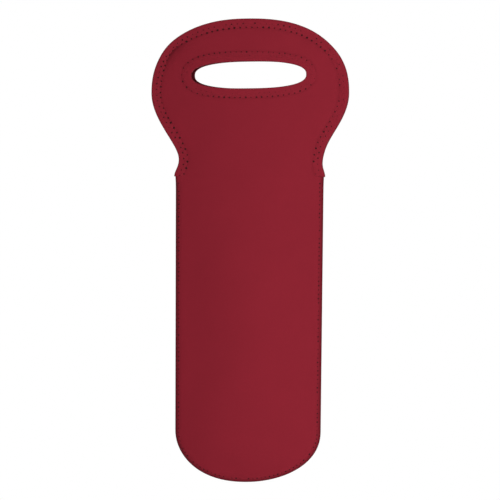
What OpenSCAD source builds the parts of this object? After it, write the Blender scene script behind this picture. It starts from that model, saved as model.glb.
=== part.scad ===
// One-bottle carrier of soft foam fabric: two panels sewn into a flat pouch, with a handle flap on each.
// The origin is the middle of the hand hole, Z is up and the front faces -Y.

/* [Pouch] */
// Height from the lowest point of the base to the top of the side seams
pouch_h = 251.5; // [220:0.5:290]
// Width across the side seams at the mouth
mouth_w = 122.4; // [112:0.2:132]
// Width where the rounded base starts
base_w = 120.4; // [110:0.2:130]
// Height of the rounded base
base_curve_h = 42.6; // [30:0.2:55]
// Clear depth between the panels in the middle of the pouch
pouch_gap = 14; // [10:1:40]
// Clear depth between the panels in the middle of the mouth
mouth_gap = 13; // [10:0.5:18]

/* [Handle] */
// Height of the handle flaps above the mouth
handle_h = 129.5; // [115:0.5:150]
// Width of the handle flaps
handle_w = 163; // [150:0.2:180]
// Height of the widest place of the flaps above the mouth
shoulder_h = 69; // [64:0.5:78]
// Width of the narrow neck above the mouth
neck_w = 118.6; // [108:0.2:121]
// Height of the narrowest place of the neck above the mouth
neck_h = 12.6; // [10:0.5:18]
// Clear depth between the two flaps in the middle of the hand holes
flap_gap = 9; // [8:0.2:12]
// Clear depth between the free edges of the two flaps
flap_edge_gap = 2.8; // [2.6:0.1:5]

/* [Hand hole] */
// Finished width of the hand hole
grip_w = 93.2; // [84:0.2:100]
// Finished height of the hand hole
grip_h = 22.2; // [18:0.2:28]
// Height of the middle of the hand hole above the mouth
grip_rise = 84; // [78:0.5:89]

/* [Fabric] */
// Thickness of the foam fabric
panel_t = 3; // [2:0.1:4]
// Thickness that each panel keeps at the sewn edge
seam_t = 2.1; // [1.4:0.1:2.8]
// Width of the flat sewn edge outside the side and base seam
seam_allowance = 3.4; // [2.5:0.1:5]
// Thickness of the binding
binding_t = 0.8; // [0.5:0.1:1.2]
// Width of the binding along the flap edges
binding_w = 7.6; // [5:0.1:9]
// Width of the binding round the hand hole
grip_binding_w = 7.8; // [6:0.1:10]
// Room between a binding and the fabric that it wraps
binding_clearance = 0.2; // [0.12:0.01:0.3]
// Room at the fold between the pouch and a flap
fold_clearance = 0.3; // [0.2:0.05:0.5]

/* [Hidden] */
fabric_colour = "#88232f";
binding_colour = "#7d1f2b";

// Levels above the lowest point of the base
flap_z = pouch_h + fold_clearance;
shoulder_z = pouch_h + shoulder_h;
neck_z = pouch_h + neck_h;
grip_z = pouch_h + grip_rise;
top_z = pouch_h + handle_h;

// Shape of the outline: roundness of the base, the dome and the hand hole, and pull of the curves of the flank
base_power = 2.1;
dome_power = 2.32;
grip_power = 2.5;
flank_pulls_share = [0.41, 0.29];
neck_pulls_share = [0.46, 0.34];

// Shape of the bulge: how it fades towards the seam, and where along the pouch it starts and ends
bulge_power = 1.35;
full_share = 0.6;
bulge_fade_h = handle_h * 0.6;
edge_rise_h = handle_h * 0.5;
seam_open_h = seam_allowance * 4;
edge_roll_w = panel_t * 1.6;
mouth_edge_gap = binding_t + fold_clearance;

// Room between the fabric and the binding at the rim of the hand hole, where both run in straight spans
hole_ease = binding_clearance * 2.5;

// Steps along the outlines
base_steps = 11;
pouch_steps = 13;
cross_steps = 20;
dome_steps = 36;
flank_steps = 9;
neck_steps = 5;
mouth_steps = 14;
flap_rings_shares = [0.2, 0.4, 0.6, 0.8];
grip_steps = 56;
base_start_angle = 6;

function lerp(a, b, t) = a + (b - a) * t;
function clamped(t) = max(0, min(1, t));
function smooth(t) = let(c = clamped(t)) c * c * (3 - 2 * c);
function bezier(p, t) =
    let(u = 1 - t) u * u * u * p[0] + 3 * u * u * t * p[1] + 3 * u * t * t * p[2] + t * t * t * p[3];
function unit(v) = v / norm(v);
function right_of(a, b) = let(d = unit(b - a)) [d[1], -d[0]];

// Point of an oval at a parameter angle; a power over 2 makes it squarer than an ellipse
function oval(half_w, half_h, power, a) =
    let(round_share = function(c) sign(c) * pow(abs(c), 2 / power))
    [half_w * round_share(cos(a)), half_h * round_share(sin(a))];

// Half width of the pouch above the rounded base
function pouch_half_w(z) = lerp(base_w, mouth_w, clamped((z - base_curve_h) / (pouch_h - base_curve_h))) / 2;

// Half width that the bulge is spread over: the pouch's, widening above the mouth to that of the flaps
function bulge_half_w(z) =
    z < pouch_h ? pouch_half_w(z) : lerp(mouth_w, handle_w, smooth((z - pouch_h) / shoulder_h)) / 2;

// How far a point lies from the centre line: 0 there and 1 on the outline drawn in by inset
function spread(x, z, inset) =
    let(
        across = abs(x) / (bulge_half_w(z) - inset),
        down = max(0, base_curve_h - z) / (base_curve_h - inset)
    ) pow(pow(across, base_power) + pow(down, base_power), 1 / base_power);

// Bulge of a panel in the middle, from the full pouch over the mouth into the flaps
function fullness(z) =
    let(
        full_z = pouch_h * full_share,
        mouth_bulge = mouth_gap / 2 - mouth_edge_gap,
        flap_bulge = (flap_gap - flap_edge_gap) / 2
    )
    z < pouch_h
        ? lerp(pouch_gap / 2, mouth_bulge, smooth((z - full_z) / (pouch_h - full_z)))
        : lerp(mouth_bulge, flap_bulge, smooth((z - pouch_h) / bulge_fade_h));

// Clear half depth at the side edges: closed at the seam, open above it
function edge_gap(z) =
    z < pouch_h
        ? mouth_edge_gap * smooth((z - pouch_h + seam_open_h) / seam_open_h)
        : lerp(mouth_edge_gap, flap_edge_gap / 2, smooth((z - pouch_h) / edge_rise_h));

function half_gap(x, z) =
    let(s = spread(x, z, seam_allowance))
    edge_gap(z) + fullness(z) * pow(max(0, 1 - s * s), bulge_power);

// Thickness of a pouch panel, which is squeezed towards the sewn edge
function panel_thickness(x, z) =
    let(from_edge = (1 - spread(x, z, 0)) * base_w / 2)
    lerp(seam_t, panel_t, smooth(from_edge / edge_roll_w));

// Solid through a row of sections with equally many points.
// A section runs along one side of the fabric and back along the other.
module skin(sections, closed = false) {
    count = len(sections);
    ring = len(sections[0]);
    spans = closed ? count : count - 1;
    sides = [
        for (i = [0 : spans - 1], j = [0 : ring - 1])
            let(
                a = i * ring + j,
                b = i * ring + (j + 1) % ring,
                c = (i + 1) % count * ring + j,
                d = (i + 1) % count * ring + (j + 1) % ring
            ) each [[a, b, d], [a, d, c]]
    ];
    across = [
        for (j = [0 : ring / 2 - 2])
            let(k = ring - 1 - j) each [[j, j + 1, k - 1], [j, k - 1, k]]
    ];
    first_cap = [for (t = across) [t[2], t[1], t[0]]];
    last_cap = [for (t = across) t + [1, 1, 1] * (count - 1) * ring];
    polyhedron([for (s = sections) each s], closed ? sides : concat(sides, first_cap, last_cap), 10);
}

// Level and half width of each row of the pouch, from the base to the mouth
pouch_rows = [
    for (i = [0 : base_steps])
        let(p = oval(base_w / 2, base_curve_h, base_power, lerp(base_start_angle, 90, i / base_steps) - 90))
        [base_curve_h + p[1], p[0]],
    for (i = [1 : pouch_steps])
        let(z = lerp(base_curve_h, pouch_h, i / pouch_steps))
        [z, pouch_half_w(z)]
];

// Places across a row, closer together towards the seams
cross_shares = [for (j = [0 : cross_steps]) sin(180 * j / cross_steps - 90)];

function pouch_section(row) =
    let(z = row[0], xs = [for (s = cross_shares) s * row[1]])
    [
        for (x = xs) [x, -half_gap(x, z), z],
        for (j = [cross_steps : -1 : 0]) [xs[j], -half_gap(xs[j], z) - panel_thickness(xs[j], z), z]
    ];

module pouch_panel() {
    translate([0, 0, -grip_z]) skin([for (row = pouch_rows) pouch_section(row)]);
}

// Right half of the finished flap outline, from the top middle to the end of the neck
right_edge = [
    for (i = [0 : dome_steps / 2])
        [0, shoulder_z] + oval(handle_w / 2, top_z - shoulder_z, dome_power, 90 - 180 * i / dome_steps),
    for (i = [1 : flank_steps])
        let(drop = shoulder_z - neck_z)
        bezier([
            [handle_w / 2, shoulder_z],
            [handle_w / 2, shoulder_z - drop * flank_pulls_share[0]],
            [neck_w / 2, neck_z + drop * flank_pulls_share[1]],
            [neck_w / 2, neck_z]
        ], i / flank_steps),
    for (i = [1 : neck_steps])
        let(drop = neck_z - flap_z, tip = mouth_w / 2 + binding_t + binding_clearance)
        bezier([
            [neck_w / 2, neck_z],
            [neck_w / 2, neck_z - drop * neck_pulls_share[0]],
            [tip, flap_z + drop * neck_pulls_share[1]],
            [tip, flap_z]
        ], i / neck_steps)
];

// Whole finished edge of a flap, from the left end of the neck over the top to the right end
flap_edge = concat(
    [for (i = [len(right_edge) - 1 : -1 : 1]) [-right_edge[i][0], right_edge[i][1]]],
    right_edge
);
edge_last = len(flap_edge) - 1;

// Direction from a point of the flap edge into the fabric
function into_flap(i) =
    i == 0 ? [1, 0] : i == edge_last ? [-1, 0] : right_of(flap_edge[i - 1], flap_edge[i + 1]);

// Finished edge of the hand hole, and the direction from its points into the fabric
grip_edge = [
    for (i = [0 : grip_steps - 1])
        [0, grip_z] + oval(grip_w / 2, grip_h / 2, grip_power, 360 * i / grip_steps)
];
function into_grip(i) =
    right_of(grip_edge[(i + grip_steps - 1) % grip_steps], grip_edge[(i + 1) % grip_steps]);

// Point of the hand hole's edge grown by a distance, as seen from its middle at an angle
function grip_point(angle, distance) =
    let(
        across = abs(cos(angle)) / (grip_w / 2 + distance),
        up = abs(sin(angle)) / (grip_h / 2 + distance),
        reach = pow(pow(across, grip_power) + pow(up, grip_power), -1 / grip_power)
    ) [reach * cos(angle), grip_z + reach * sin(angle)];

function angle_of(p) = atan2(p[1] - grip_z, p[0]);

// Fabric outline of a flap: inside its binding, then along the fold
flap_outline = concat(
    [for (i = [0 : edge_last]) flap_edge[i] + into_flap(i) * (binding_t + binding_clearance)],
    [
        for (i = [1 : mouth_steps - 1])
            [lerp(mouth_w, -mouth_w, i / mouth_steps) / 2, flap_z]
    ]
);

function outer_face(p) = [p[0], -half_gap(p[0], p[1]) - panel_t, p[1]];
function inner_face(p) = [p[0], -half_gap(p[0], p[1]), p[1]];

// Points of the flap on the ray from the hand hole to an outline point
function flap_ray(p) =
    let(
        start = grip_point(angle_of(p), binding_t + hole_ease),
        under = grip_point(angle_of(p), grip_binding_w)
    ) [start, under, for (s = flap_rings_shares) lerp(under, p, s), p];

function flap_section(p) =
    let(ray = flap_ray(p), last = len(ray) - 1)
    [for (q = ray) outer_face(q), for (k = [last : -1 : 0]) inner_face(ray[k])];

module handle_flap() {
    translate([0, 0, -grip_z]) skin([for (p = flap_outline) flap_section(p)], closed = true);
}

// Section of a binding that wraps the fabric: edge is the finished edge and steps inwards from there
function binding_section(edge, into, width) =
    let(
        wrap = binding_t + binding_clearance,
        round_off = binding_t * 0.6,
        at = function(d) edge + into * d,
        gap = function(d) half_gap(at(d)[0], at(d)[1]),
        place = function(d, y) [at(d)[0], y, at(d)[1]]
    ) [
        place(width, -gap(width) + binding_clearance),
        place(binding_t, -gap(binding_t) + binding_clearance),
        place(binding_t, -gap(binding_t) - panel_t - binding_clearance),
        place(width, -gap(width) - panel_t - binding_clearance),
        place(width, -gap(width) - panel_t - wrap),
        place(round_off, -gap(round_off) - panel_t - wrap),
        place(0, -gap(0) - panel_t - wrap + round_off),
        place(0, -gap(0) + wrap - round_off),
        place(round_off, -gap(round_off) + wrap),
        place(width, -gap(width) + wrap)
    ];

module flap_binding() {
    translate([0, 0, -grip_z])
        skin([for (i = [0 : edge_last]) binding_section(flap_edge[i], into_flap(i), binding_w)]);
}

module grip_binding() {
    translate([0, 0, -grip_z])
        skin([
            for (i = [0 : grip_steps - 1]) binding_section(grip_edge[i], into_grip(i), grip_binding_w)
        ], closed = true);
}

module front_body_panel() { color(fabric_colour) pouch_panel(); }
module back_body_panel() { color(fabric_colour) mirror([0, 1, 0]) pouch_panel(); }
module front_handle_flap() { color(fabric_colour) handle_flap(); }
module back_handle_flap() { color(fabric_colour) mirror([0, 1, 0]) handle_flap(); }
module front_flap_binding() { color(binding_colour) flap_binding(); }
module back_flap_binding() { color(binding_colour) mirror([0, 1, 0]) flap_binding(); }
module front_grip_binding() { color(binding_colour) grip_binding(); }
module back_grip_binding() { color(binding_colour) mirror([0, 1, 0]) grip_binding(); }

front_body_panel();
back_body_panel();
front_handle_flap();
back_handle_flap();
front_flap_binding();
back_flap_binding();
front_grip_binding();
back_grip_binding();
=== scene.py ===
"""Looks of the one-bottle carrier: jersey-faced foam panels, sewn edge tapes and zigzag stitches.

Lengths are in metres. X runs across, the front faces -Y, and Z is up. The outlines are written with
their height above the lowest point of the base, and the origin is the middle of the hand hole.
"""
import math

import bpy
import numpy as np
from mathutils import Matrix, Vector


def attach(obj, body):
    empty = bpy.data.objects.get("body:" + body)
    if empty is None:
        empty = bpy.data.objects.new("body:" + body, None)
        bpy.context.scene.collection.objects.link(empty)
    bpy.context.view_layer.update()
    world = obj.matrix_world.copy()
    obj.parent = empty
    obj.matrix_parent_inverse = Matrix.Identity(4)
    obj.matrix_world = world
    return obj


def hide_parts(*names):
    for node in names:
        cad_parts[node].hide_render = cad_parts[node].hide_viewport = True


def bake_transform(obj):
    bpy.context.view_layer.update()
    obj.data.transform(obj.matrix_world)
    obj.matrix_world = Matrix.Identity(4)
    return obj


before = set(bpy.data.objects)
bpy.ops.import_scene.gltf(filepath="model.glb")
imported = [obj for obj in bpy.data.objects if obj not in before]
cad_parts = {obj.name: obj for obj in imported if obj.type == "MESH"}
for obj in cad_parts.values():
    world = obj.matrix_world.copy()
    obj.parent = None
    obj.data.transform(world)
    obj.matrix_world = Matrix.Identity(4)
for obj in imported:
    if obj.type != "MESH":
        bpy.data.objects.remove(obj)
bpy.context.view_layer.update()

# Pouch
POUCH_HEIGHT = 0.2515
MOUTH_WIDTH = 0.1224
BASE_WIDTH = 0.1204
BASE_CURVE_HEIGHT = 0.0426
BASE_POWER = 2.1
POUCH_DEPTH = 0.014
MOUTH_DEPTH = 0.013

# Handle flaps
HANDLE_HEIGHT = 0.1295
HANDLE_WIDTH = 0.163
SHOULDER_HEIGHT = 0.069
NECK_WIDTH = 0.1186
NECK_HEIGHT = 0.0126
FLAP_DEPTH = 0.009
FLAP_EDGE_DEPTH = 0.0028
DOME_POWER = 2.32
FLANK_PULLS = (0.41, 0.29)
NECK_PULLS = (0.46, 0.34)

# Hand hole
HOLE_WIDTH = 0.0932
HOLE_HEIGHT = 0.0222
HOLE_RISE = 0.084
HOLE_POWER = 2.5

# Fabric, tapes and seams. SEAM_ROW is how far the seam's needle holes lie inside its edge, and UNDER_TAPE
# how far the cut edge of the fabric lies inside the finished edge of its tape.
PANEL_THICKNESS = 0.003
SEAM_ALLOWANCE = 0.0034
SEAM_ROW = 0.0029
TAPE_REACH = 0.0076
HOLE_TAPE_REACH = 0.0078
UNDER_TAPE = 0.001
MOUTH_EDGE_GAP = 0.0011
SEAM_OPENING = 4 * SEAM_ALLOWANCE
LAYER_GAP = 0.00012

# The bulge falls off towards the edges by this power. It is full up to this share of the pouch's height,
# and takes on the flap's depth over the same share of the flap's height.
BULGE_POWER = 1.35
FULL_SHARE = 0.6

# Levels above the lowest point of the base
SHOULDER = POUCH_HEIGHT + SHOULDER_HEIGHT
NECK = POUCH_HEIGHT + NECK_HEIGHT
HOLE = POUCH_HEIGHT + HOLE_RISE
TOP = POUCH_HEIGHT + HANDLE_HEIGHT

# Unevenness of the sewing: how far the neck leans right, and the dome and the lowest point of the
# base left; how much further in the rows of stitches run on the left than on the right, and the width
# over which they drift; and how much wider, further right and higher each panel's hand hole is, and by
# how many radians it is turned
NECK_LEAN = 0.0010
DOME_LEAN = 0.0007
NECK_LEAN_LEVEL = NECK + 0.004
DOME_LEAN_LEVEL = HOLE + 0.026
LEAN_SPAN = 0.010
BASE_LEAN = 0.0036
BASE_LEAN_POWER = 3.3
ROW_DRIFT = 0.0007
DRIFT_WIDTH = 0.08
HOLE_UNEVENNESS = {"front": (0.0015, -0.00075, -0.0007, 0.009), "back": (0, 0, 0.0003, 0.010)}

# The valley that the stitches at the tape's inner edge make, and the place on the front's upper left
# where they are drawn tighter and the tape is narrower
VALLEY_PLACE = TAPE_REACH + 0.0004
VALLEY_DEPTH = 0.00025
VALLEY_WIDTH = 0.0033
VALLEY_RISE = 0.02
SNAG_DEPTH = 0.0015
SNAG_PULL = 4
SNAG_NARROWING = 0.0021
SNAG_SIZE = 0.013
SNAG_PLACE = (-0.068, HOLE + 0.0225)


def mix(a, b, share):
    return a + (b - a) * share


def smooth(t):
    t = np.clip(t, 0, 1)
    return t * t * (3 - 2 * t)


def dip(distance, middle, width):
    """1 at the middle, falling to 0 on both sides of it."""
    return np.exp(-(((distance - middle) / width) ** 2))


# The surface of the panels


def pouch_half_width(z):
    """Half width of the sewn pouch, without the curve of its base."""
    share = np.clip((z - BASE_CURVE_HEIGHT) / (POUCH_HEIGHT - BASE_CURVE_HEIGHT), 0, 1)
    return mix(BASE_WIDTH, MOUTH_WIDTH, share) / 2


def bulge_half_width(z):
    """Half width that the bulge is spread over: the pouch's, widening above the mouth to the flaps'."""
    above = mix(MOUTH_WIDTH, HANDLE_WIDTH, smooth((z - POUCH_HEIGHT) / SHOULDER_HEIGHT)) / 2
    return np.where(z < POUCH_HEIGHT, pouch_half_width(z), above)


def spread(x, z, inset):
    """0 on the centre line and 1 on the outline drawn in by inset."""
    across = np.abs(x) / (bulge_half_width(z) - inset)
    down = np.maximum(0, BASE_CURVE_HEIGHT - z) / (BASE_CURVE_HEIGHT - inset)
    return (across**BASE_POWER + down**BASE_POWER) ** (1 / BASE_POWER)


def fullness(z):
    """Half depth that the bulge adds on the centre line."""
    full = POUCH_HEIGHT * FULL_SHARE
    mouth_bulge = MOUTH_DEPTH / 2 - MOUTH_EDGE_GAP
    below = mix(POUCH_DEPTH / 2, mouth_bulge, smooth((z - full) / (POUCH_HEIGHT - full)))
    flap_bulge = (FLAP_DEPTH - FLAP_EDGE_DEPTH) / 2
    above = mix(mouth_bulge, flap_bulge, smooth((z - POUCH_HEIGHT) / (HANDLE_HEIGHT * FULL_SHARE)))
    return np.where(z < POUCH_HEIGHT, below, above)


def edge_gap(z):
    """Half depth between the panels along their edges: none at the seam, and open at the flaps."""
    below = MOUTH_EDGE_GAP * smooth((z - POUCH_HEIGHT + SEAM_OPENING) / SEAM_OPENING)
    above = mix(MOUTH_EDGE_GAP, FLAP_EDGE_DEPTH / 2, smooth((z - POUCH_HEIGHT) / (HANDLE_HEIGHT / 2)))
    return np.where(z < POUCH_HEIGHT, below, above)


class Undulation:
    """Slight seeded waves that a sewn foam panel keeps; they fade towards the sewn edge."""

    PITCHES = (0.035, 0.12)
    EDGE_FADE = 3
    FLAP_FADE = 0.03

    def __init__(self, seed, height=0.00022, waves=9):
        draw = np.random.RandomState(seed)
        self.height = height / math.sqrt(waves)
        self.pitch = draw.uniform(*self.PITCHES, waves)
        self.turn = draw.uniform(0, math.pi, waves)
        self.phase = draw.uniform(0, 2 * math.pi, waves)

    def __call__(self, x, z):
        total = np.zeros_like(x)
        for pitch, turn, phase in zip(self.pitch, self.turn, self.phase):
            along = x * math.cos(turn) + z * math.sin(turn)
            total += np.sin(2 * math.pi * along / pitch + phase)
        on_flap = smooth((z - POUCH_HEIGHT) / self.FLAP_FADE)
        return total * self.height * smooth((1 - spread(x, z, 0)) * self.EDGE_FADE + on_flap)


def half_gap(x, z, waves):
    """Clear half depth between the two panels."""
    share = np.clip(1 - spread(x, z, SEAM_ALLOWANCE) ** 2, 0, 1)
    return edge_gap(z) + fullness(z) * share**BULGE_POWER + waves(x, z)


# Outlines, as rows of (x, height)


def curve_length(points):
    """Length of the line up to each of its points."""
    return np.concatenate([[0], np.cumsum(np.linalg.norm(np.diff(points, axis=0), axis=1))])


def evenly(points, count):
    """The same open line with evenly spaced points."""
    along = curve_length(points)
    wanted = np.linspace(0, along[-1], count)
    return np.stack([np.interp(wanted, along, points[:, i]) for i in (0, 1)], axis=1)


def bezier(pulls, t):
    a, b, c, d = (np.array(p)[None] for p in pulls)
    t = t[:, None]
    return (1 - t) ** 3 * a + 3 * (1 - t) ** 2 * t * b + 3 * (1 - t) * t * t * c + t**3 * d


def oval(half_width, half_height, power, angle):
    """Points of a superellipse. A power of 2 makes an ellipse, and a higher one fills its corners."""
    def rounded(c):
        return np.sign(c) * np.abs(c) ** (2 / power)

    return np.stack([half_width * rounded(np.cos(angle)), half_height * rounded(np.sin(angle))], axis=1)


def flap_edge(count):
    """Finished edge of a flap, from the left end of the neck over the top to the right end."""
    t = np.linspace(0, 1, 60)
    dome = oval(HANDLE_WIDTH / 2, TOP - SHOULDER, DOME_POWER, math.pi / 2 * (1 - t**1.5)) + [0, SHOULDER]
    drop = SHOULDER - NECK
    flank = bezier([
        (HANDLE_WIDTH / 2, SHOULDER),
        (HANDLE_WIDTH / 2, SHOULDER - drop * FLANK_PULLS[0]),
        (NECK_WIDTH / 2, NECK + drop * FLANK_PULLS[1]),
        (NECK_WIDTH / 2, NECK),
    ], t)
    drop = NECK - POUCH_HEIGHT
    tip = MOUTH_WIDTH / 2 + UNDER_TAPE
    neck = bezier([
        (NECK_WIDTH / 2, NECK),
        (NECK_WIDTH / 2, NECK - drop * NECK_PULLS[0]),
        (tip, POUCH_HEIGHT + drop * NECK_PULLS[1]),
        (tip, POUCH_HEIGHT),
    ], t)
    right = np.concatenate([dome, flank[1:], neck[1:]])
    left = right[:0:-1] * [-1, 1]
    return evenly(np.concatenate([left, right]), count)


def hole_edge(count, wider, right, up, turned):
    """Finished edge of a hand hole, anticlockwise from its lowest point, without a repeated end."""
    angle = np.linspace(0, 2 * math.pi, 2001) - math.pi / 2
    x, z = oval((HOLE_WIDTH + wider) / 2, HOLE_HEIGHT / 2, HOLE_POWER, angle).T
    x, z = x * math.cos(turned) - z * math.sin(turned), x * math.sin(turned) + z * math.cos(turned)
    return evenly(np.stack([x + right, z + HOLE + up], axis=1), count + 1)[:-1]


def pouch_edge(count):
    """Sewn edge of the pouch, from the left end of the mouth down round the base to the right end."""
    t = np.linspace(0, 1, 80)
    base = oval(BASE_WIDTH / 2, BASE_CURVE_HEIGHT, BASE_POWER, math.pi / 2 * (t - 1))
    right = np.concatenate([base + [0, BASE_CURVE_HEIGHT], [[MOUTH_WIDTH / 2, POUCH_HEIGHT]]])
    left = right[:0:-1] * [-1, 1]
    return evenly(np.concatenate([left, right]), count)


def into_fabric(points, closed=False, level_ends=False):
    """Unit directions to the right of the line's course, which lead into the fabric."""
    if closed:
        course = np.roll(points, -1, axis=0) - np.roll(points, 1, axis=0)
    else:
        course = np.gradient(points, axis=0)
    course /= np.linalg.norm(course, axis=1)[:, None]
    into = np.stack([course[:, 1], -course[:, 0]], axis=1)
    if level_ends:
        into[0], into[-1] = (1, 0), (-1, 0)
    return into


def distance_to(points, line):
    """Distance of each point from a line."""
    start, step = line[:-1], np.diff(line, axis=0)
    square = (step**2).sum(axis=1)
    nearest = []
    for part in np.array_split(points, max(1, len(points) // 1500)):
        to_point = part[:, None] - start[None]
        share = np.clip((to_point * step[None]).sum(axis=2) / square[None], 0, 1)
        nearest.append(np.linalg.norm(to_point - share[..., None] * step[None], axis=2).min(axis=1))
    return np.concatenate(nearest)


# Meshes


def new_object(name, vertices, faces=(), edges=(), materials=(), smooth_faces=True):
    mesh = bpy.data.meshes.new(name)
    mesh.from_pydata([tuple(v) for v in vertices], [tuple(e) for e in edges], [tuple(f) for f in faces])
    for material in materials:
        mesh.materials.append(material)
    if smooth_faces and faces:
        mesh.polygons.foreach_set("use_smooth", [True] * len(mesh.polygons))
    mesh.update()
    made = bpy.data.objects.new(name, mesh)
    bpy.context.scene.collection.objects.link(made)
    return made


def store(mesh, name, values, kind="FLOAT"):
    """Keeps a number or a vector for each point of a mesh."""
    field = "value" if kind == "FLOAT" else "vector"
    mesh.attributes.new(name, kind, "POINT").data.foreach_set(field, np.asarray(values, np.float32).ravel())


def placed(x, y, z):
    """Points in the row's frame from heights above the base, on the slightly uneven sewn outline."""
    down = np.clip(1 - z / BASE_CURVE_HEIGHT, 0, 1)
    lean = NECK_LEAN * dip(z, NECK_LEAN_LEVEL, LEAN_SPAN) - DOME_LEAN * dip(z, DOME_LEAN_LEVEL, LEAN_SPAN)
    lean -= BASE_LEAN * down**BASE_LEAN_POWER
    return np.stack([x + lean, y, z - HOLE], axis=1)


class Panel:
    """One foam fabric panel: the pouch wall and the handle flap above it, cut in one piece."""

    EDGE_POINTS = 280
    POUCH_EDGE_POINTS = 500
    HOLE_POINTS = 600
    MOUTH_SPANS = 72
    BODY_ROWS = 118
    BASE_ROWS = 40
    BASE_START = math.radians(1.2)
    # Distances in mm of the rings near an edge, and the share of the way that they take up at most
    NEAR_RINGS = (0, 0.12, 0.35, 0.7, 1.1, 1.6, 2.6, 4, 5.2, 6, 6.8, 7.5, 8.2, 9.2, 10.6, 12.5)
    NEAR_SHARE = 0.46
    MIDDLE_RINGS = 14
    # How deep and how wide the rows of stitches pull the fabric in, how far beside the tapes they do so,
    # and how much of the flap's rows' shade the seam has
    FLAP_DIP = 0.00005
    SEAM_DIP = 0.0001
    FLAP_DIP_WIDTH = 0.0011
    SEAM_DIP_WIDTH = 0.0009
    BESIDE_TAPE = 0.0003
    SEAM_SHADE = 0.2
    # How far below the mouth the flap's rows set in and the seam's row ends, and over which height
    FLAP_DIP_START, FLAP_DIP_SPAN = 0.001, 0.004
    SEAM_DIP_END, SEAM_DIP_SPAN = 0.012, 0.01
    # How the edges are rounded, and their thickness where the seam flattens them
    FLAP_ROUNDING = 0.0015
    SEAM_ROUNDING = 0.0085
    SEAM_ROUNDING_POWER = 3.5
    SEAM_EDGE = 0.00005
    SEAM_END = 0.006
    SLOPE_STEP = 0.0004

    def __init__(self, side, seed, unevenness):
        self.side = side
        self.waves = Undulation(seed)
        self.finished_edge = flap_edge(self.EDGE_POINTS)
        inwards = into_fabric(self.finished_edge, level_ends=True)
        self.fabric_edge = self.finished_edge + inwards * UNDER_TAPE
        self.pouch_edge = pouch_edge(self.POUCH_EDGE_POINTS)
        hole = hole_edge(self.HOLE_POINTS, *unevenness)
        self.fabric_hole = hole + into_fabric(hole, closed=True) * UNDER_TAPE
        self.outline = np.concatenate([self.fabric_edge, self.pouch_edge[-2:0:-1]])
        self.lay_out()

    def pouch_grid(self):
        """Points in rows up to the mouth, the quads between them, and the edge's and the mouth's points."""
        shares = np.sin(np.linspace(-math.pi / 2, math.pi / 2, self.MOUTH_SPANS + 1))
        angles = np.linspace(self.BASE_START, math.pi / 2, self.BASE_ROWS + 1)
        base = oval(BASE_WIDTH / 2, BASE_CURVE_HEIGHT, BASE_POWER, angles - math.pi / 2)
        upper = np.linspace(BASE_CURVE_HEIGHT, POUCH_HEIGHT, self.BODY_ROWS + 1)[1:-1]
        rows = [(BASE_CURVE_HEIGHT + z, half) for half, z in base]
        rows += [(z, float(pouch_half_width(z))) for z in upper]
        rows.append((POUCH_HEIGHT, self.fabric_edge[-1, 0]))
        points = [(share * half, z) for z, half in rows for share in shares]
        across = len(shares)
        mouth = range(len(points) - across, len(points))
        quads = []
        on_edge = set(range(across))
        for first in range(0, mouth[0], across):
            quads += [(a, a + 1, a + across + 1, a + across) for a in range(first, first + across - 1)]
            on_edge |= {first, first + across - 1}
        return points, quads, on_edge, mouth

    def flap_rings(self, line):
        """Rings of points from the hand hole out to just inside the line round the flap."""
        along = curve_length(np.concatenate([line, line[:1]]))
        turn = along[:-1] / along[-1]
        hole = np.concatenate([self.fabric_hole[:1], self.fabric_hole[::-1]])
        hole_along = curve_length(hole)
        wanted = ((turn - turn[self.EDGE_POINTS // 2] + 0.5) % 1) * hole_along[-1]
        starts = np.stack([np.interp(wanted, hole_along, hole[:, i]) for i in (0, 1)], axis=1)
        ray = line - starts
        length = np.linalg.norm(ray, axis=1)
        near = np.array(self.NEAR_RINGS)[:, None] / 1000
        near = near * np.minimum(1, self.NEAR_SHARE * length / near[-1]) / length
        middle = [mix(near[-1], 1 - near[-1], k / self.MIDDLE_RINGS) for k in range(1, self.MIDDLE_RINGS)]
        return [starts + ray * share[:, None] for share in (*near, *middle, *(1 - near[:0:-1]))]

    def lay_out(self):
        """Lays out the flat cut: points, the quads between them, and which points lie on an edge."""
        points, quads, on_edge, mouth = self.pouch_grid()
        first = len(points)
        outline = [mouth[0], *range(first, first + self.EDGE_POINTS - 2), *mouth[:0:-1]]
        points += [tuple(p) for p in self.fabric_edge[1:-1]]
        rings = []
        for ring in self.flap_rings(np.array([points[i] for i in outline])):
            rings.append(range(len(points), len(points) + len(ring)))
            points += [tuple(p) for p in ring]
        rings.append(outline)
        for inner, outer in zip(rings[:-1], rings[1:]):
            for i in range(len(outline)):
                j = (i + 1) % len(outline)
                quads.append((inner[i], inner[j], outer[j], outer[i]))
        self.points = np.array(points)
        self.quads = quads
        self.on_edge = on_edge | set(rings[0]) | set(outline[: self.EDGE_POINTS])

    def flat_area(self):
        def area(loop):
            x, z = loop[:, 0], loop[:, 1]
            return abs((x * np.roll(z, -1) - np.roll(x, -1) * z).sum()) / 2

        return area(self.outline) - area(self.fabric_hole)

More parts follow.
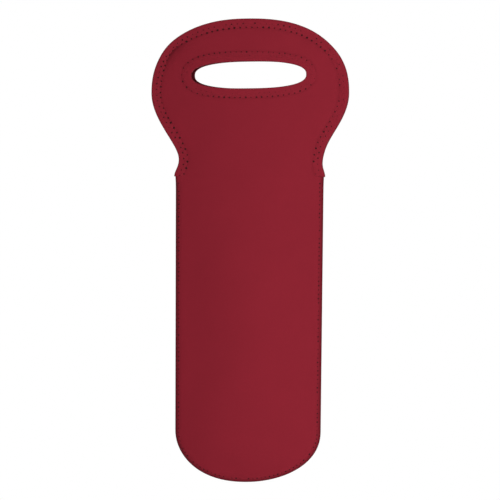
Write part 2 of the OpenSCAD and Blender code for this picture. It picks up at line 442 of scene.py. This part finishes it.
    def measure(self, x, z):
        """Distance of each point from the cut edge, and how far the flap's and the seam's rows pull it in."""
        at = np.stack([x, z], axis=1)
        closed = np.concatenate([self.outline, self.outline[:1]])
        hole = np.concatenate([self.fabric_hole, self.fabric_hole[:1]])
        from_hole = distance_to(at, hole)
        from_edge = np.minimum(distance_to(at, closed), from_hole)
        from_finished = distance_to(at, self.finished_edge)
        from_seam = distance_to(at, self.pouch_edge)
        above_mouth = z - POUCH_HEIGHT
        snag = self.snag(x, z)
        beside_tape = TAPE_REACH + self.BESIDE_TAPE - SNAG_NARROWING * snag
        tape_dip = dip(from_finished, beside_tape, self.FLAP_DIP_WIDTH) * (1 + SNAG_PULL * snag)
        hole_dip = dip(from_hole, HOLE_TAPE_REACH + self.BESIDE_TAPE - UNDER_TAPE, self.FLAP_DIP_WIDTH)
        on_flap = smooth((above_mouth + self.FLAP_DIP_START) / self.FLAP_DIP_SPAN)
        on_seam = 1 - smooth((above_mouth + self.SEAM_DIP_END) / self.SEAM_DIP_SPAN)
        flap_dip = np.maximum(tape_dip, hole_dip) * on_flap
        seam_dip = dip(from_seam, SEAM_ROW, self.SEAM_DIP_WIDTH) * on_seam
        return from_edge, self.FLAP_DIP * flap_dip, self.SEAM_DIP * seam_dip

    def snag(self, x, z):
        """1 where the stitches are drawn tightest, falling to 0 around that place."""
        if self.side > 0:
            return np.zeros_like(x)
        return dip(np.hypot(x - SNAG_PLACE[0], z - SNAG_PLACE[1]), 0, SNAG_SIZE)

    def inner_depth(self, x, z):
        """Depth of the inner face before its edges are rounded."""
        from_finished = distance_to(np.stack([x, z], axis=1), self.finished_edge)
        snag = self.snag(x, z)
        middle = VALLEY_PLACE - SNAG_NARROWING * snag
        valley = dip(from_finished, middle, VALLEY_WIDTH) * smooth((z - POUCH_HEIGHT) / VALLEY_RISE)
        return half_gap(x, z, self.waves) + LAYER_GAP - valley * (VALLEY_DEPTH + SNAG_DEPTH * snag)

    def faces_of(self, x, z):
        """Depths of the outer and inner faces behind the middle plane between the panels."""
        from_edge, flap_dips, seam_dips = self.measure(x, z)
        inner = self.inner_depth(x, z)
        above_seam = smooth((z - POUCH_HEIGHT + self.SEAM_END) / self.SEAM_END)
        full_round = np.sqrt(1 - (1 - np.clip(from_edge / self.FLAP_ROUNDING, 0, 1)) ** 2)
        seam_round = 1 - (1 - np.clip(from_edge / self.SEAM_ROUNDING, 0, 1)) ** self.SEAM_ROUNDING_POWER
        edge_level = mix(self.SEAM_EDGE, PANEL_THICKNESS / 2, above_seam)
        face_level = PANEL_THICKNESS - flap_dips - seam_dips
        outer_level = mix(edge_level, face_level, mix(seam_round, full_round, above_seam))
        inner_level = mix(edge_level, flap_dips, full_round)
        # How far the rows pull the fabric in, which the fabric material turns into painted shade in their
        # valleys
        pulled = np.maximum(flap_dips / self.FLAP_DIP, seam_dips / self.SEAM_DIP * self.SEAM_SHADE)
        return inner + outer_level, inner + inner_level, from_edge, pulled

    def build(self, name, material):
        """The panel as one closed mesh, with its outer and inner faces joined along the edges."""
        x, z = self.points[:, 0], self.points[:, 1]
        outer, inner, from_edge, pulled = self.faces_of(x, z)
        edge = np.zeros(len(x), bool)
        edge[list(self.on_edge)] = True
        middle = (outer + inner) / 2
        outer, inner = np.where(edge, middle, outer), np.where(edge, middle, inner)
        inside = np.flatnonzero(~edge)
        inner_id = np.arange(len(x))
        inner_id[inside] = len(x) + np.arange(len(inside))
        vertices = np.concatenate([
            placed(x, self.side * outer, z),
            placed(x[inside], self.side * inner[inside], z[inside]),
        ])
        faces = []
        for quad in self.quads:
            back = tuple(int(inner_id[i]) for i in quad)
            faces += [quad, back[::-1]] if self.side < 0 else [quad[::-1], back]
        made = new_object(name, vertices, faces, materials=[material])
        store(made.data, "from_edge", np.concatenate([from_edge, from_edge[inside]]))
        store(made.data, "pulled", np.concatenate([pulled, pulled[inside]]))
        return made

    def outside(self, x, z):
        """Points on the panel's outer face, and the directions that it faces there."""
        def depth(x, z):
            return self.faces_of(x, z)[0]

        step = self.SLOPE_STEP
        slope_x = (depth(x + step, z) - depth(x - step, z)) / (2 * step)
        slope_z = (depth(x, z + step) - depth(x, z - step)) / (2 * step)
        facing = np.stack([-self.side * slope_x, np.ones_like(x), -self.side * slope_z], axis=1) * self.side
        return placed(x, self.side * depth(x, z), z), facing / np.linalg.norm(facing, axis=1)[:, None]

    def middle_depth(self, x, z):
        """Depth of the flap fabric's own middle, which the tapes wrap."""
        return self.inner_depth(x, z) + PANEL_THICKNESS / 2


# Half section of a tape as (distance in from the finished edge, height over the fabric's middle), in mm
TAPE_OUTSIDE = (
    (7.6, 1.38), (7.6, 1.5), (7.5, 1.56), (7.3, 1.6), (7.0, 1.63), (6.6, 1.68), (6.1, 1.75), (5.5, 1.82),
    (4.9, 1.85), (4.4, 1.84), (4.0, 1.84), (3.6, 1.87), (3.1, 1.94), (2.4, 2.02), (1.5, 2.04), (0.8, 1.97),
    (0.32, 1.72), (0.07, 1.2),
)
TAPE_INSIDE = (
    (7.58, 1.38), (7.55, 1.38), (7.4, 1.4), (7.1, 1.42), (6.9, 1.45), (6.6, 1.5), (6.1, 1.52), (5.4, 1.54),
    (4.7, 1.54), (4.3, 1.54), (4.0, 1.54), (3.7, 1.54), (3.2, 1.54), (2.5, 1.54), (1.8, 1.42), (1.35, 1.2),
    (1.0, 0.9), (0.85, 0.5),
)
TAPE_EDGE = ((0, 0), (0.82, 0))

# How far the tape's turn round the edge reaches, which is the same for every tape, and the length over
# which a narrowing takes hold beyond it
TAPE_TURN = 0.0026
NARROWING_SPAN = 0.005

# The part of a hand hole tape that gets painted shade, which stands for the shadowed gap between the flaps:
# its reach from the edge, how it fades, and its height
RIM_REACH = 0.003
RIM_FADE = 0.002
RIM_HEIGHT = 0.001

# Distances of the two rows of needle holes from the finished edge
STITCH_ROWS = (0.0038, 0.0070)


def tape_height(distance):
    """Height of the tape's outer face over the fabric's middle."""
    distances, heights = np.array(TAPE_OUTSIDE[:0:-1]).T / 1000
    return float(np.interp(distance, distances, heights))


def narrowed(distance):
    """Share of a narrowing that shows at this distance from the edge."""
    return smooth((distance - TAPE_TURN) / NARROWING_SPAN)


def tape_section(reach):
    """Outer and inner lines of the section, scaled so that the tape reaches in by the given length."""
    def half(line, sign):
        scaled = [(d / 1000, sign * h / 1000) for d, h in line]
        return [(d * reach / TAPE_REACH if d > TAPE_TURN else d, h) for d, h in scaled]

    outside = half(TAPE_OUTSIDE, 1) + half(TAPE_EDGE[:1], 1) + half(TAPE_OUTSIDE, -1)[::-1]
    inside = half(TAPE_INSIDE, 1) + half(TAPE_EDGE[1:], 1) + half(TAPE_INSIDE, -1)[::-1]
    return outside, inside


def build_tape(name, panel, edge, closed, reach, material):
    """A tape folded over an edge of a flap."""
    outside, inside = tape_section(reach)
    section = outside + inside[::-1]
    into = into_fabric(edge, closed, level_ends=not closed)
    narrowing = SNAG_NARROWING * panel.snag(edge[:, 0], edge[:, 1])
    vertices, from_edge, gap_shade = [], [], []
    for d, h in section:
        at = edge + into * (d - narrowing * narrowed(d))[:, None]
        depth = panel.middle_depth(at[:, 0], at[:, 1]) + h
        vertices.append(placed(at[:, 0], panel.side * depth, at[:, 1]))
        from_edge.append(np.full(len(edge), d))
        # Painted shade on the inner side of a hand hole tape near its edge, which stands for the shadowed gap
        # between the flaps
        rim = smooth(-h / RIM_HEIGHT) * (1 - smooth((d - RIM_REACH) / RIM_FADE)) if closed else 0
        gap_shade.append(np.full(len(edge), rim))
    ring, count = len(section), len(edge)
    vertices = np.concatenate(vertices)
    faces = []
    for k in range(ring):
        after = (k + 1) % ring
        for i in range(count if closed else count - 1):
            j = (i + 1) % count
            faces.append((k * count + i, k * count + j, after * count + j, after * count + i))
    if not closed:
        half = len(outside)
        for k in range(half - 1):
            a, b, c, d = k, k + 1, ring - 2 - k, ring - 1 - k
            faces.append(tuple(v * count for v in (a, b, c, d)))
            faces.append(tuple(v * count + count - 1 for v in (d, c, b, a)))
    if panel.side > 0:
        faces = [face[::-1] for face in faces]
    made = new_object(name, vertices, faces, materials=[material])
    store(made.data, "from_edge", np.concatenate(from_edge))
    store(made.data, "gap_shade", np.concatenate(gap_shade))
    return made


# Node trees


class Value:
    """A node's output. Arithmetic on it adds Math nodes."""

    def __init__(self, nodes, socket):
        self.nodes, self.socket = nodes, socket

    def math(self, operation, *terms):
        return self.nodes.add("ShaderNodeMath", {"operation": operation}, dict(enumerate(terms)))

    def __add__(self, other):
        return self.math("ADD", self, other)

    def __sub__(self, other):
        return self.math("SUBTRACT", self, other)

    def __rsub__(self, other):
        return self.math("SUBTRACT", other, self)

    def __mul__(self, other):
        return self.math("MULTIPLY", self, other)

    def __truediv__(self, other):
        return self.math("DIVIDE", self, other)

    def __mod__(self, other):
        return self.math("FLOORED_MODULO", self, other)

    __radd__, __rmul__ = __add__, __mul__

    def sin(self):
        return self.math("SINE", self)

    def size(self):
        return self.math("ABSOLUTE", self)

    def greater(self, other):
        return self.math("MAXIMUM", self, other)

    def ramp(self, low, high):
        """0 below low and 1 above high, turning smoothly between them."""
        return self.nodes.add(
            "ShaderNodeMapRange", {"interpolation_type": "SMOOTHSTEP"}, {0: self, 1: low, 2: high}
        )


class Nodes:
    """Adds nodes to one tree, which it clears first."""

    def __init__(self, tree):
        self.tree = tree
        tree.nodes.clear()

    def add(self, kind, settings=None, sockets=None, output=0):
        """A node with the given settings and inputs, which are values or outputs of other nodes."""
        made = self.tree.nodes.new(kind)
        for name, setting in (settings or {}).items():
            setattr(made, name, setting)
        for name, value in (sockets or {}).items():
            if isinstance(value, Value):
                self.tree.links.new(value.socket, made.inputs[name])
            else:
                made.inputs[name].default_value = value
        return Value(self, made.outputs[output] if made.outputs else None)


# Stitches, made with Geometry Nodes

STITCH_INPUTS = {
    "Rails": ("NodeSocketGeometry", None),
    "Holes": ("NodeSocketInt", 100),
    "Thread Radius": ("NodeSocketFloat", 0.00014),
    "Rise": ("NodeSocketFloat", 0.00014),
    "Sink": ("NodeSocketFloat", 0.0005),
    "Near Hole Radius": ("NodeSocketFloat", 0.0005),
    "Far Hole Radius": ("NodeSocketFloat", 0.0006),
    "Wander": ("NodeSocketFloat", 0.00015),
    "Seed": ("NodeSocketInt", 1),
    "Thread": ("NodeSocketMaterial", None),
    "Needle Hole": ("NodeSocketMaterial", None),
}
SPANS_PER_STITCH = 4

# Number of needle holes in each row, and the radii of their dark dots of painted shade on the near and on the
# far rail
NEEDLE_HOLES = {
    "flap": (153, 0.00058, 0.0008),
    "hand_hole": (106, 0.00025, 0.00063),
    "seam": (162, 0.0006, 0.0006),
}

# Smallest and largest share of its radius that a hole opens to, which is scaled by OPENNESS and made smaller
# towards the right, the lit side, where less painted shade is drawn; and the depth of a hole as a share of
# its radius
OPEN_SHARES = (0.6, 1.15)
OPENNESS = 1.06
RIGHT_START, RIGHT_END = 0.056, 0.072
LIT_SIDE_SHRINK = 0.35
HOLE_FLATNESS = 0.3


def stitch_tree():
    """Thread that zigzags between two rails, with a needle hole at each turn.

    The input is the near rail, whose points know their place on the far rail and the way the fabric faces.
    """
    tree = bpy.data.node_groups.new("zigzag_stitches", "GeometryNodeTree")
    for name, (kind, default) in STITCH_INPUTS.items():
        socket = tree.interface.new_socket(name, in_out="INPUT", socket_type=kind)
        if default is not None:
            socket.default_value = default
    tree.interface.new_socket("Stitches", in_out="OUTPUT", socket_type="NodeSocketGeometry")
    nodes = Nodes(tree)

    def given(name):
        return nodes.add("NodeGroupInput", output=name)

    def stored(name):
        return nodes.add("GeometryNodeInputNamedAttribute", {"data_type": "FLOAT_VECTOR"}, {"Name": name})

    def along(direction, length):
        return nodes.add("ShaderNodeVectorMath", {"operation": "SCALE"}, {0: direction, "Scale": length})

    curve = nodes.add("GeometryNodeMeshToCurve", sockets={"Mesh": given("Rails")})
    holes = nodes.add(
        "GeometryNodeResampleCurve", {"mode": "COUNT"}, {"Curve": curve, "Count": given("Holes")}
    )
    turn = nodes.add("GeometryNodeSplineParameter", output="Index") % 2
    place = nodes.add("ShaderNodeMix", {"data_type": "VECTOR"}, {
        0: turn, 4: nodes.add("GeometryNodeInputPosition"), 5: stored("far_rail"),
    }, output=1)
    wander = nodes.add("FunctionNodeRandomValue", {"data_type": "FLOAT_VECTOR"}, {
        0: (-1, -1, -1), 1: (1, 1, 1), "Seed": given("Seed"),
    })
    holes = nodes.add("GeometryNodeSetPosition", sockets={
        "Geometry": holes, "Position": place, "Offset": along(wander, given("Wander")),
    })

    # Each needle hole is a flattened dark dome: painted shade for the shadow inside the hole, drawn smaller
    # towards the lit right side
    unevenness = nodes.add("FunctionNodeRandomValue", {"data_type": "FLOAT"}, {
        2: OPEN_SHARES[0], 3: OPEN_SHARES[1], "Seed": given("Seed"),
    }, output=1)
    right = nodes.add("ShaderNodeSeparateXYZ", sockets={0: nodes.add("GeometryNodeInputPosition")})
    openness = unevenness * (OPENNESS - right.ramp(RIGHT_START, RIGHT_END) * LIT_SIDE_SHRINK)
    radius = (given("Near Hole Radius") * (1 - turn) + given("Far Hole Radius") * turn) * openness
    size = nodes.add("ShaderNodeCombineXYZ", sockets={0: radius, 1: radius, 2: radius * HOLE_FLATNESS})
    dot = nodes.add("GeometryNodeMeshUVSphere", sockets={"Segments": 8, "Rings": 4, "Radius": 1.0})
    facing = nodes.add("FunctionNodeAlignRotationToVector", {"axis": "Z"}, {"Vector": stored("facing")})
    dots = nodes.add("GeometryNodeInstanceOnPoints", sockets={
        "Points": holes, "Instance": dot, "Rotation": facing, "Scale": size,
    })
    dots = nodes.add("GeometryNodeRealizeInstances", sockets={"Geometry": dots})
    dots = nodes.add("GeometryNodeSetMaterial", sockets={"Geometry": dots, "Material": given("Needle Hole")})

    thread = nodes.add("GeometryNodeSubdivideCurve", sockets={"Curve": holes, "Cuts": SPANS_PER_STITCH - 1})
    step = nodes.add("GeometryNodeSplineParameter", output="Index") % SPANS_PER_STITCH
    swing = (step * (math.pi / SPANS_PER_STITCH)).sin()
    height = swing * (given("Rise") + given("Sink")) - given("Sink")
    thread = nodes.add("GeometryNodeSetPosition", sockets={
        "Geometry": thread, "Offset": along(stored("facing"), height),
    })
    profile = nodes.add("GeometryNodeCurvePrimitiveCircle", sockets={
        "Resolution": 6, "Radius": given("Thread Radius"),
    })
    thread = nodes.add("GeometryNodeCurveToMesh", sockets={
        "Curve": thread, "Profile Curve": profile, "Fill Caps": True,
    })

    joined = nodes.tree.nodes.new("GeometryNodeJoinGeometry")
    for part in (dots, thread):
        tree.links.new(part.socket, joined.inputs[0])
    both = nodes.add("GeometryNodeSetShadeSmooth", sockets={"Geometry": Value(nodes, joined.outputs[0])})
    both = nodes.add("GeometryNodeRealizeInstances", sockets={"Geometry": both})
    in_hole = nodes.add("GeometryNodeMaterialSelection", sockets={"Material": given("Needle Hole")})
    both = nodes.add("GeometryNodeSetMaterial", sockets={
        "Geometry": both,
        "Selection": nodes.add("FunctionNodeBooleanMath", {"operation": "NOT"}, {0: in_hole}),
        "Material": given("Thread"),
    })
    nodes.add("NodeGroupOutput", sockets={"Stitches": both})
    return tree


def rails(name, lines):
    """One mesh of open or closed rails. Each line is (near points, far points, facing, closed)."""
    near, far, facing, edges = [], [], [], []
    for near_line, far_line, face_line, closed in lines:
        first, count = sum(len(line) for line in near), len(near_line)
        edges += [(first + i, first + (i + 1) % count) for i in range(count if closed else count - 1)]
        near.append(near_line)
        far.append(far_line)
        facing.append(face_line)
    made = new_object(name, np.concatenate(near), edges=edges, smooth_faces=False)
    store(made.data, "far_rail", np.concatenate(far), "FLOAT_VECTOR")
    store(made.data, "facing", np.concatenate(facing), "FLOAT_VECTOR")
    return made


def sewn(piece, tree, materials, **settings):
    """Runs the stitch tree on the rails and keeps its result as a plain mesh."""
    modifier = piece.modifiers.new("stitches", "NODES")
    modifier.node_group = tree
    sockets = {item.name: item.identifier for item in tree.interface.items_tree if item.in_out == "INPUT"}
    settings.update(zip(("Thread", "Needle Hole"), materials))
    for name, value in settings.items():
        modifier[sockets[name.replace("_", " ")]] = value
    bpy.context.view_layer.update()
    result = bpy.data.meshes.new_from_object(piece.evaluated_get(bpy.context.evaluated_depsgraph_get()))
    piece.modifiers.clear()
    piece.data = result
    return piece


def tape_rails(panel, edge, closed, reach, ends=0):
    """Rails of the zigzag on both faces of a tape: the near row, and the row by the tape's inner edge."""
    into = into_fabric(edge, closed, level_ends=not closed)
    kept = slice(ends, len(edge) - ends)
    narrowing = SNAG_NARROWING * panel.snag(edge[:, 0], edge[:, 1])
    lines = []
    for face in (1, -1):
        row = []
        for d in STITCH_ROWS:
            drift = ROW_DRIFT * smooth(0.5 - edge[:, 0] / DRIFT_WIDTH) - narrowing * narrowed(d)
            at = (edge + into * (d * reach / TAPE_REACH + drift)[:, None])[kept]
            depth = panel.middle_depth(at[:, 0], at[:, 1]) + face * tape_height(d)
            row.append(placed(at[:, 0], panel.side * depth, at[:, 1]))
        facing = np.tile((0, panel.side * face, 0), (len(row[0]), 1))
        lines.append((*row, facing, closed))
    return lines


SEAM_POINTS = 420
SEAM_ENDS = 4


def seam_rails(panel):
    """Rail of the straight stitches of the seam, which ends a little below the mouth."""
    line = pouch_edge(SEAM_POINTS)
    at = (line - into_fabric(line) * SEAM_ROW)[SEAM_ENDS:-SEAM_ENDS]
    points, facing = panel.outside(at[:, 0], at[:, 1])
    return [(points, points, facing, False)]


# Materials

CLOTH_COLOUR = "88212e"
THREAD_COLOUR = "831f2c"
# Colour of the dark dots of painted shade that stand for the shadow inside each needle hole
NEEDLE_HOLE_SHADE_COLOUR = "30070e"

# Shares by which the colour varies with broad clouds, with the flecks of the yarn, with the knitted loops
# and with the painted shade on the inner side of the hand hole tapes, which stands for the shadowed gap
# between the flaps
CLOUDS, FLECKS, LOOPS, GAP_SHADE_SHARE = 0.07, 0.16, 0.04, 0.7

# Scales of the noise that makes the clouds, the flecks and the fuzz; and how far the loops lean, how much
# they stand out from their columns, and the middle of the height that both make
CLOUD_SCALE, FLECK_SCALE, FUZZ_SCALE = 28, 950, 260
LOOP_LEAN, LOOP_SHARE, KNIT_MIDDLE = 5.5, 0.35, 0.7


def new_material(name):
    """A material, and its node tree to add nodes to."""
    material = bpy.data.materials.new(name)
    material.use_nodes = True
    return material, Nodes(material.node_tree)


def linear(colour):
    """Scene-linear colour of a colour written as six hexadecimal digits."""
    channels = [int(colour[i : i + 2], 16) / 255 for i in (0, 2, 4)]
    return tuple(c / 12.92 if c <= 0.04045 else ((c + 0.055) / 1.055) ** 2.4 for c in channels) + (1,)


def shaded(nodes, colour, share):
    """A colour made darker or lighter by a share that varies over the surface."""
    return nodes.add("ShaderNodeVectorMath", {"operation": "SCALE"}, {0: colour, "Scale": share})


def fabric(name, colour, wale, course, painted_shade):
    """Knitted jersey.

    wale and course are the pitches of its loops. The last argument is painted shade: the share by which it
    darkens along its rolled edges, standing for the shade where they turn away from the light, the width over
    which it does, and the share by which it darkens in the shaded valleys where stitches pull it in.
    """
    material, nodes = new_material(name)
    place = nodes.add("ShaderNodeTexCoord", output="Object")
    across, up = (nodes.add("ShaderNodeSeparateXYZ", sockets={0: place}, output=i) for i in (0, 2))

    def noise(scale, detail):
        return nodes.add("ShaderNodeTexNoise", sockets={
            "Vector": place, "Scale": scale, "Detail": detail, "Roughness": 0.55,
        })

    column = across / wale
    lean = (column % 1 - 0.5).size() * LOOP_LEAN
    loops = (up * (2 * math.pi / course) + lean).sin() * LOOP_SHARE
    knit = (column * math.pi).sin().size() + loops

    clouds = noise(CLOUD_SCALE, 2) - 0.5
    flecks = noise(FLECK_SCALE, 3) - 0.5
    from_edge = nodes.add("ShaderNodeAttribute", {"attribute_name": "from_edge"}, output="Fac")
    pulled = nodes.add("ShaderNodeAttribute", {"attribute_name": "pulled"}, output="Fac")
    gap_shade = nodes.add("ShaderNodeAttribute", {"attribute_name": "gap_shade"}, output="Fac")
    edge_shade, edge_width, valley_shade = painted_shade
    share = 1 + clouds * CLOUDS + flecks * FLECKS + (knit - KNIT_MIDDLE) * LOOPS
    # Painted shade along the rolled edges and in the stitch valleys
    share = share * (1 - edge_shade * (1 - from_edge.ramp(0.0002, edge_width)) - pulled * valley_shade)
    # Painted shade on the inner side of the hand hole tapes, for the shadowed gap between the flaps
    share = share * (1 - gap_shade * GAP_SHADE_SHARE)

    bump = nodes.add("ShaderNodeBump", sockets={
        "Strength": 0.6, "Distance": 0.00005, "Height": knit + flecks * 0.8 + noise(FUZZ_SCALE, 2) * 1.6,
    })
    surface = nodes.add("ShaderNodeBsdfPrincipled", sockets={
        "Base Color": shaded(nodes, linear(colour)[:3], share),
        "Roughness": 0.86 + flecks * 0.12,
        "Specular IOR Level": 0.06,
        "Sheen Weight": 0.04,
        "Sheen Roughness": 0.45,
        "Sheen Tint": (0.62, 0.22, 0.27, 1),
        "Normal": bump,
    })
    nodes.add("ShaderNodeOutputMaterial", sockets={"Surface": surface})
    return material


def plain_thread(name, colour, roughness):
    """Sewing thread or the shaded mouth of a needle hole, with a slight twist in its colour."""
    material, nodes = new_material(name)
    place = nodes.add("ShaderNodeTexCoord", output="Object")
    fibres = nodes.add("ShaderNodeTexNoise", sockets={"Vector": place, "Scale": 2600.0, "Detail": 2.0}) - 0.5
    bump = nodes.add("ShaderNodeBump", sockets={"Strength": 0.5, "Distance": 0.00003, "Height": fibres})
    surface = nodes.add("ShaderNodeBsdfPrincipled", sockets={
        "Base Color": shaded(nodes, linear(colour)[:3], 1 + fibres * 0.5),
        "Roughness": roughness + fibres * 0.2,
        "Specular IOR Level": 0.2,
        "Normal": bump,
    })
    nodes.add("ShaderNodeOutputMaterial", sockets={"Surface": surface})
    return material


def backdrop_seen(nodes):
    """1 for the camera, glossy and transmission rays, which see the background as plain white."""
    camera, glossy, transmission = (
        nodes.add("ShaderNodeLightPath", output=f"Is {kind} Ray")
        for kind in ("Camera", "Glossy", "Transmission")
    )
    return camera.greater(glossy).greater(transmission)


def pale_floor():
    """Pale floor that the camera sees as the white background."""
    material, nodes = new_material("pale_floor")
    matt = nodes.add("ShaderNodeBsdfPrincipled", sockets={"Base Color": (0.8, 0.8, 0.8, 1), "Roughness": 0.9})
    white = nodes.add("ShaderNodeEmission", sockets={"Color": (1, 1, 1, 1), "Strength": 1.0})
    both = nodes.add("ShaderNodeMixShader", sockets={0: backdrop_seen(nodes), 1: matt, 2: white})
    nodes.add("ShaderNodeOutputMaterial", sockets={"Surface": both})
    return material


# Camera, light and floor

LOOK_AT = Vector((0.0015, -0.006, -0.1444))
CAMERA_DISTANCE = 1.5
FRAME_WIDTH = 0.4101
SENSOR_WIDTH = 36
CAMERA_AZIMUTH = math.radians(6)
CAMERA_ROLL = math.radians(0.4)
AMBIENT = 0.2
FLOOR = -0.9
FLOOR_HALF_WIDTH = 6

# Softboxes, as place, width, height and watts
SOFTBOXES = {
    "key_softbox": ((0.17, -0.40, -0.15), 0.16, 1.0, 2.38),
    "fill_softbox": ((-0.2, -1.6, -0.2), 1.2, 1.4, 1.5),
    "back_softbox": ((-0.3, 1.7, 0.2), 1.2, 1.4, 23),
}


def make_camera():
    lens = bpy.data.cameras.new("camera")
    lens.sensor_width = SENSOR_WIDTH
    lens.lens = SENSOR_WIDTH * CAMERA_DISTANCE / FRAME_WIDTH
    camera = bpy.data.objects.new("camera", lens)
    back = Vector((math.sin(CAMERA_AZIMUTH), -math.cos(CAMERA_AZIMUTH), 0))
    camera.location = LOOK_AT + back * CAMERA_DISTANCE
    camera.rotation_euler = (-back).to_track_quat("-Z", "Y").to_euler()
    camera.rotation_euler.rotate_axis("Z", CAMERA_ROLL)
    bpy.context.scene.collection.objects.link(camera)
    bpy.context.scene.camera = camera


def softbox(name, place, width, height, watts):
    light = bpy.data.lights.new(name, "AREA")
    light.shape = "RECTANGLE"
    light.size, light.size_y = width, height
    light.energy = watts
    lamp = bpy.data.objects.new(name, light)
    lamp.location = place
    lamp.rotation_euler = (LOOK_AT - Vector(place)).to_track_quat("-Z", "Y").to_euler()
    bpy.context.scene.collection.objects.link(lamp)


def make_studio():
    for name, settings in SOFTBOXES.items():
        softbox(name, *settings)

    world = bpy.data.worlds.new("studio")
    world.use_nodes = True
    nodes = Nodes(world.node_tree)
    strength = backdrop_seen(nodes) * (1 - AMBIENT) + AMBIENT
    sky = nodes.add("ShaderNodeBackground", sockets={"Color": (1, 1, 1, 1), "Strength": strength})
    nodes.add("ShaderNodeOutputWorld", sockets={"Surface": sky})
    bpy.context.scene.world = world
    bpy.context.scene.view_settings.view_transform = "Standard"

    far = FLOOR_HALF_WIDTH
    corners = [(-far, -far, FLOOR), (far, -far, FLOOR), (far, far, FLOOR), (-far, far, FLOOR)]
    floor = new_object("floor", corners, [(0, 1, 2, 3)], materials=[pale_floor()])


make_camera()
make_studio()

# The foam jersey gets painted shade along its rolled edges and in the stitch valleys; the tapes get none
foam_jersey = fabric("foam_jersey", CLOTH_COLOUR, 0.0009, 0.0008, (0.4, 0.0034, 0.1))
tape_jersey = fabric("tape_jersey", CLOTH_COLOUR, 0.0008, 0.0007, (0.0, 0.0009, 0.0))
sewing_thread = plain_thread("sewing_thread", THREAD_COLOUR, 0.75)
# The dark dots of painted shade at the needle holes
needle_hole_shade = plain_thread("needle_hole_shade", NEEDLE_HOLE_SHADE_COLOUR, 0.95)
stitches = stitch_tree()

HOLE_TAPE_POINTS = 200


def add_panel(panel, word):
    body = panel.build(f"{word}_panel", foam_jersey)
    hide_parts(f"{word}_body_panel", f"{word}_handle_flap")
    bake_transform(body)
    panel.flat_area()
    return body


def add_flap_tape(panel, word):
    edge = panel.finished_edge
    tape = build_tape(f"{word}_flap_tape", panel, edge, False, TAPE_REACH, tape_jersey)
    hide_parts(f"{word}_flap_binding")
    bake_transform(tape)


def add_hole_tape(panel, word, hole):
    tape = build_tape(f"{word}_hand_hole_tape", panel, hole, True, HOLE_TAPE_REACH, tape_jersey)
    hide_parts(f"{word}_grip_binding")
    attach(tape, f"{word}_flap")


def add_stitches(panel, word, hole, seed):
    lines_of = {
        "flap": tape_rails(panel, panel.finished_edge, False, TAPE_REACH, ends=1),
        "hand_hole": tape_rails(panel, hole, True, HOLE_TAPE_REACH),
        "seam": seam_rails(panel),
    }
    for place, lines in lines_of.items():
        holes, near_radius, far_radius = NEEDLE_HOLES[place]
        row = rails(f"{word}_{place}_stitches", lines)
        sewn(row, stitches, (sewing_thread, needle_hole_shade), Holes=holes, Seed=seed,
             Near_Hole_Radius=near_radius, Far_Hole_Radius=far_radius)
        if place == "flap":
            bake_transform(row)
        else:
            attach(row, f"{word}_flap" if place == "hand_hole" else "pouch")


for side, word, seed in ((-1, "front", 11), (1, "back", 23)):
    panel = Panel(side, seed, HOLE_UNEVENNESS[word])
    hole = hole_edge(HOLE_TAPE_POINTS, *HOLE_UNEVENNESS[word])
    body = add_panel(panel, word)
    add_flap_tape(panel, word)
    add_hole_tape(panel, word, hole)
    add_stitches(panel, word, hole, seed)
